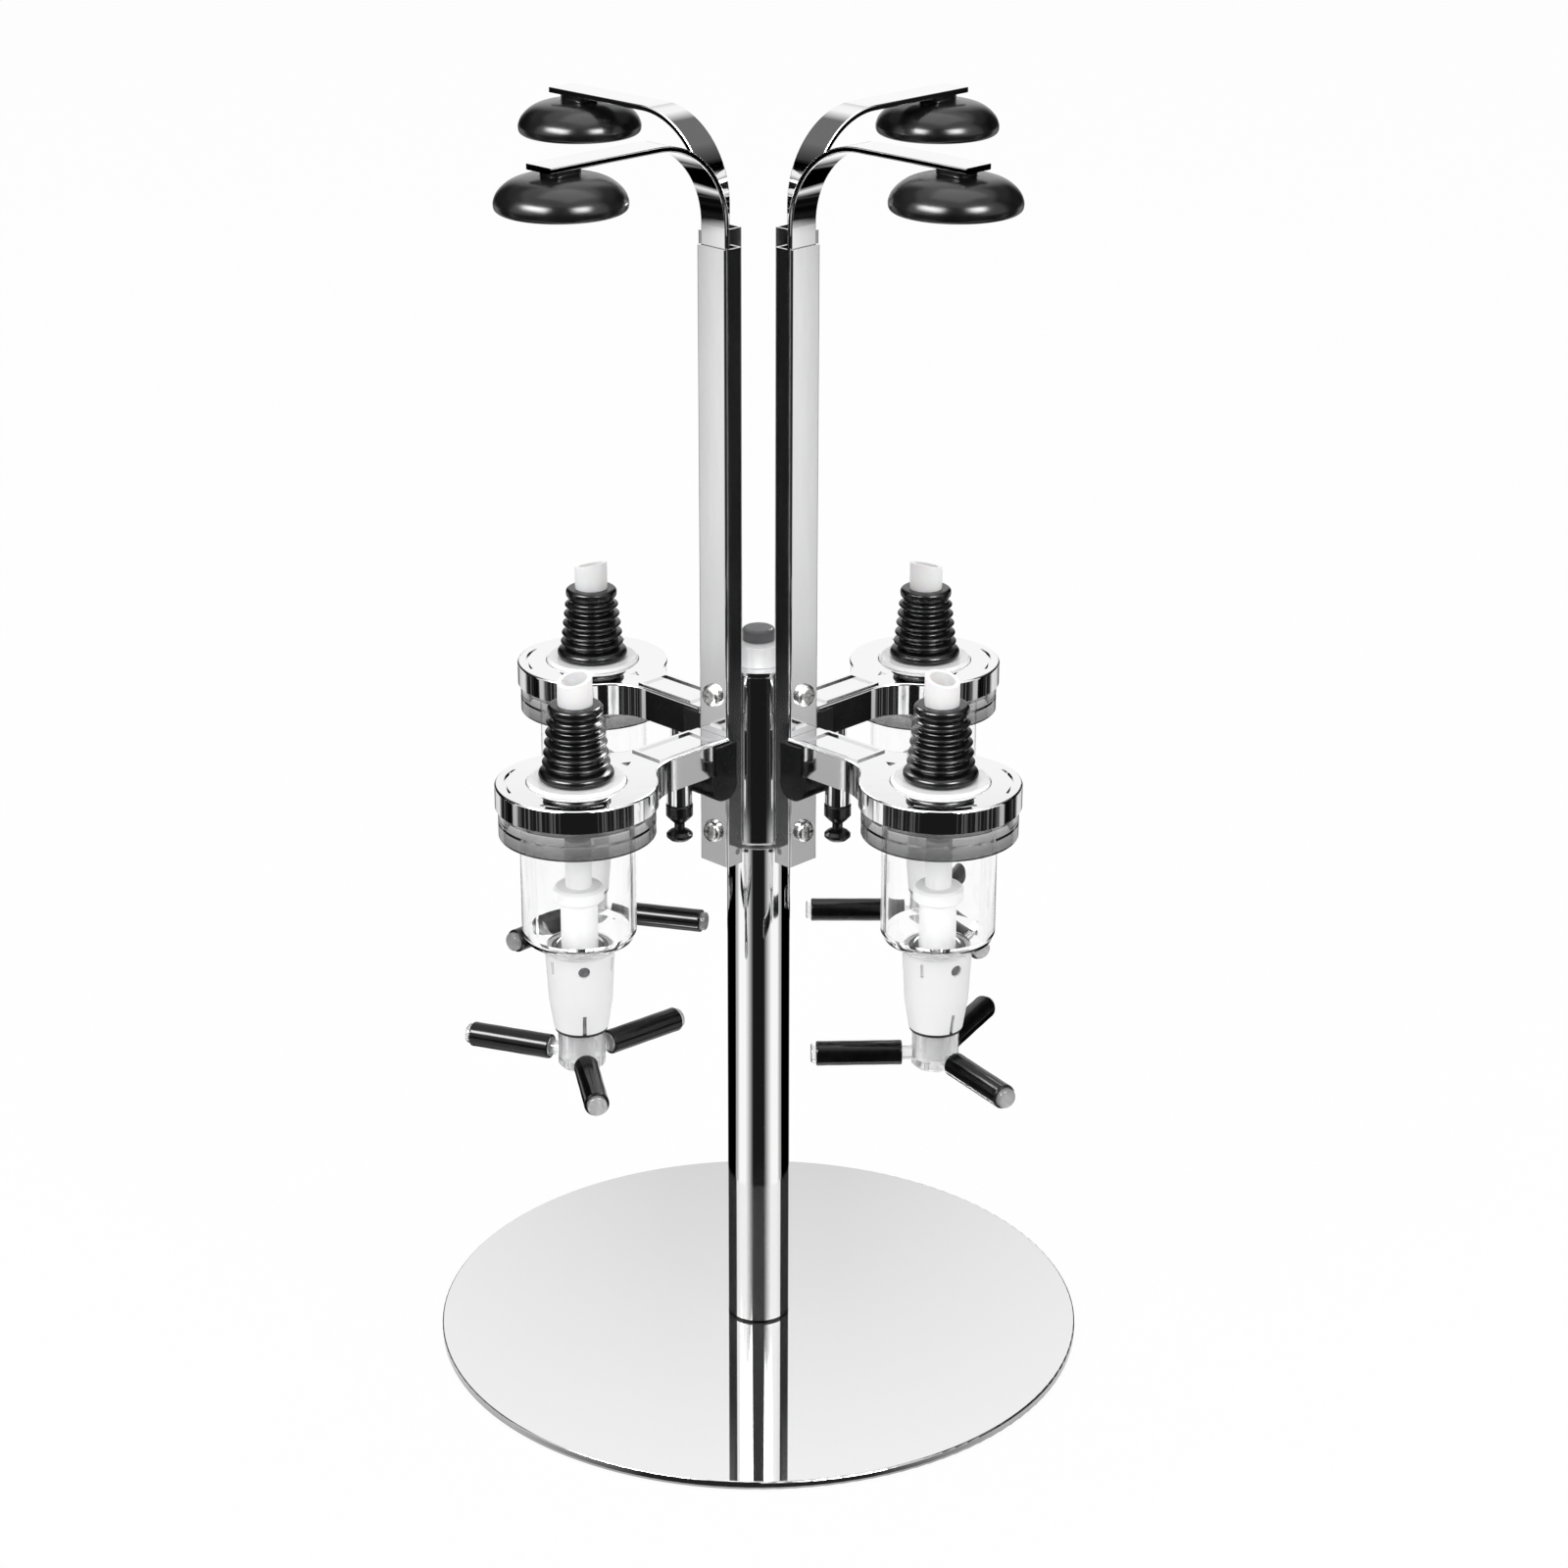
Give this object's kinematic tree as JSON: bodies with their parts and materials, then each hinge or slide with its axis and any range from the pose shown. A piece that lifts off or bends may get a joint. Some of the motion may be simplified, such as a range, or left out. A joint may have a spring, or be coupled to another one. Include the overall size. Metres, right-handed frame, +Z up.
{
  "type": "cocktail dispenser",
  "caption": "Free-standing rotating bottle stand with spring-held bottle arms and push-up spirit measures on a round mirror base.",
  "frame": {"origin": "centre of the base's underside, on the surface the stand rests on", "axes": "+Z up along the column; the stations stand at 45, 135, 225 and 315 degrees in plan, and the picture looks along +Y"},
  "size_m": [0.22, 0.22, 0.418],
  "materials": {
    "base_mirror": "mirror polished",
    "column_chrome": "bright plated",
    "hub_chrome": "bright plated",
    "rail_chrome": "bright plated",
    "bar_chrome": "bright plated",
    "bracket_chrome": "bright plated",
    "turned_steel": "turned",
    "screw_steel": "bright",
    "spring_steel": "drawn wire",
    "pad_rubber": "matt",
    "white_nylon": "matt",
    "knob_grey": "satin",
    "block_black": "gloss",
    "thumb_black": "gloss",
    "cup_rubber": "semi-gloss",
    "stopper_rubber": "satin",
    "seal_rubber": "satin",
    "cap_clear": "clear gloss",
    "chamber_clear": "clear gloss",
    "stem_white": "gloss",
    "inlet_white": "translucent",
    "nozzle_frosted": "frosted",
    "lever_clear": "clear gloss",
    "sleeve_black": "gloss"
  },
  "bodies": {
    "stand": {"base_pad": "pad_rubber", "base_plate": "base_mirror", "foot_bolt": "screw_steel", "column": "column_chrome", "column_plugs": "turned_steel", "support_collar": "column_chrome", "thrust_washer": "white_nylon", "pivot_bolt": "screw_steel", "hub_knob": "knob_grey"},
    "rotor": {"hub": "hub_chrome", "rail_screws": "screw_steel", "spring_pins": "turned_steel", "clamp_blocks": "block_black", "measure_caps": "cap_clear", "chambers": "chamber_clear", "stoppers": "stopper_rubber", "inlet_tubes": "inlet_white", "nozzle_seals": "seal_rubber", "nozzles": "nozzle_frosted", "rail_front_left": "rail_chrome", "arm_spring_front_left": "spring_steel", "bracket_front_left": "bracket_chrome", "valve_spring_front_left": "spring_steel", "rail_front_right": "rail_chrome", "arm_spring_front_right": "spring_steel", "bracket_front_right": "bracket_chrome", "valve_spring_front_right": "spring_steel", "rail_back_right": "rail_chrome", "arm_spring_back_right": "spring_steel", "bracket_back_right": "bracket_chrome", "valve_spring_back_right": "spring_steel", "rail_back_left": "rail_chrome", "arm_spring_back_left": "spring_steel", "bracket_back_left": "bracket_chrome", "valve_spring_back_left": "spring_steel"},
    "arm_front_left": {"arm_bar_front_left": "bar_chrome", "cup_front_left": "cup_rubber"},
    "valve_front_left": {"valve_stem_front_left": "stem_white", "lever_front_left": "lever_clear", "lever_sleeves_front_left": "sleeve_black"},
    "thumb_front_left": {"thumbscrew_front_left": "thumb_black"},
    "arm_front_right": {"arm_bar_front_right": "bar_chrome", "cup_front_right": "cup_rubber"},
    "valve_front_right": {"valve_stem_front_right": "stem_white", "lever_front_right": "lever_clear", "lever_sleeves_front_right": "sleeve_black"},
    "thumb_front_right": {"thumbscrew_front_right": "thumb_black"},
    "arm_back_right": {"arm_bar_back_right": "bar_chrome", "cup_back_right": "cup_rubber"},
    "valve_back_right": {"valve_stem_back_right": "stem_white", "lever_back_right": "lever_clear", "lever_sleeves_back_right": "sleeve_black"},
    "thumb_back_right": {"thumbscrew_back_right": "thumb_black"},
    "arm_back_left": {"arm_bar_back_left": "bar_chrome", "cup_back_left": "cup_rubber"},
    "valve_back_left": {"valve_stem_back_left": "stem_white", "lever_back_left": "lever_clear", "lever_sleeves_back_left": "sleeve_black"},
    "thumb_back_left": {"thumbscrew_back_left": "thumb_black"}
  },
  "joints": [
    {"name": "rotor_turn", "type": "hinge", "parent": "stand", "child": "rotor", "pos_m": [0, 0, 0.185], "axis": [0, 0, 1], "continuous": true},
    {"name": "arm_lift_front_left", "type": "slide", "parent": "rotor", "child": "arm_front_left", "axis": [0, 0, 1], "range_m": [0, 0.13], "stiffness_N_per_m": 25, "springref_m": -0.1, "deforming": ["arm_spring_front_left"]},
    {"name": "valve_press_front_left", "type": "slide", "parent": "rotor", "child": "valve_front_left", "axis": [0, 0, 1], "range_m": [0, 0.006], "stiffness_N_per_m": 250, "springref_m": -0.006, "deforming": ["valve_spring_front_left"]},
    {"name": "thumb_turn_front_left", "type": "hinge", "parent": "rotor", "child": "thumb_front_left", "pos_m": [-0.02546, -0.02546, 0.198], "axis": [0, 0, 1], "range_deg": [0, 720]},
    {"name": "arm_lift_front_right", "type": "slide", "parent": "rotor", "child": "arm_front_right", "axis": [0, 0, 1], "range_m": [0, 0.13], "stiffness_N_per_m": 25, "springref_m": -0.1, "deforming": ["arm_spring_front_right"]},
    {"name": "valve_press_front_right", "type": "slide", "parent": "rotor", "child": "valve_front_right", "axis": [0, 0, 1], "range_m": [0, 0.006], "stiffness_N_per_m": 250, "springref_m": -0.006, "deforming": ["valve_spring_front_right"]},
    {"name": "thumb_turn_front_right", "type": "hinge", "parent": "rotor", "child": "thumb_front_right", "pos_m": [0.02546, -0.02546, 0.198], "axis": [0, 0, 1], "range_deg": [0, 720]},
    {"name": "arm_lift_back_right", "type": "slide", "parent": "rotor", "child": "arm_back_right", "axis": [0, 0, 1], "range_m": [0, 0.13], "stiffness_N_per_m": 25, "springref_m": -0.1, "deforming": ["arm_spring_back_right"]},
    {"name": "valve_press_back_right", "type": "slide", "parent": "rotor", "child": "valve_back_right", "axis": [0, 0, 1], "range_m": [0, 0.006], "stiffness_N_per_m": 250, "springref_m": -0.006, "deforming": ["valve_spring_back_right"]},
    {"name": "thumb_turn_back_right", "type": "hinge", "parent": "rotor", "child": "thumb_back_right", "pos_m": [0.02546, 0.02546, 0.198], "axis": [0, 0, 1], "range_deg": [0, 720]},
    {"name": "arm_lift_back_left", "type": "slide", "parent": "rotor", "child": "arm_back_left", "axis": [0, 0, 1], "range_m": [0, 0.13], "stiffness_N_per_m": 25, "springref_m": -0.1, "deforming": ["arm_spring_back_left"]},
    {"name": "valve_press_back_left", "type": "slide", "parent": "rotor", "child": "valve_back_left", "axis": [0, 0, 1], "range_m": [0, 0.006], "stiffness_N_per_m": 250, "springref_m": -0.006, "deforming": ["valve_spring_back_left"]},
    {"name": "thumb_turn_back_left", "type": "hinge", "parent": "rotor", "child": "thumb_back_left", "pos_m": [-0.02546, 0.02546, 0.198], "axis": [0, 0, 1], "range_deg": [0, 720]}
  ]
}
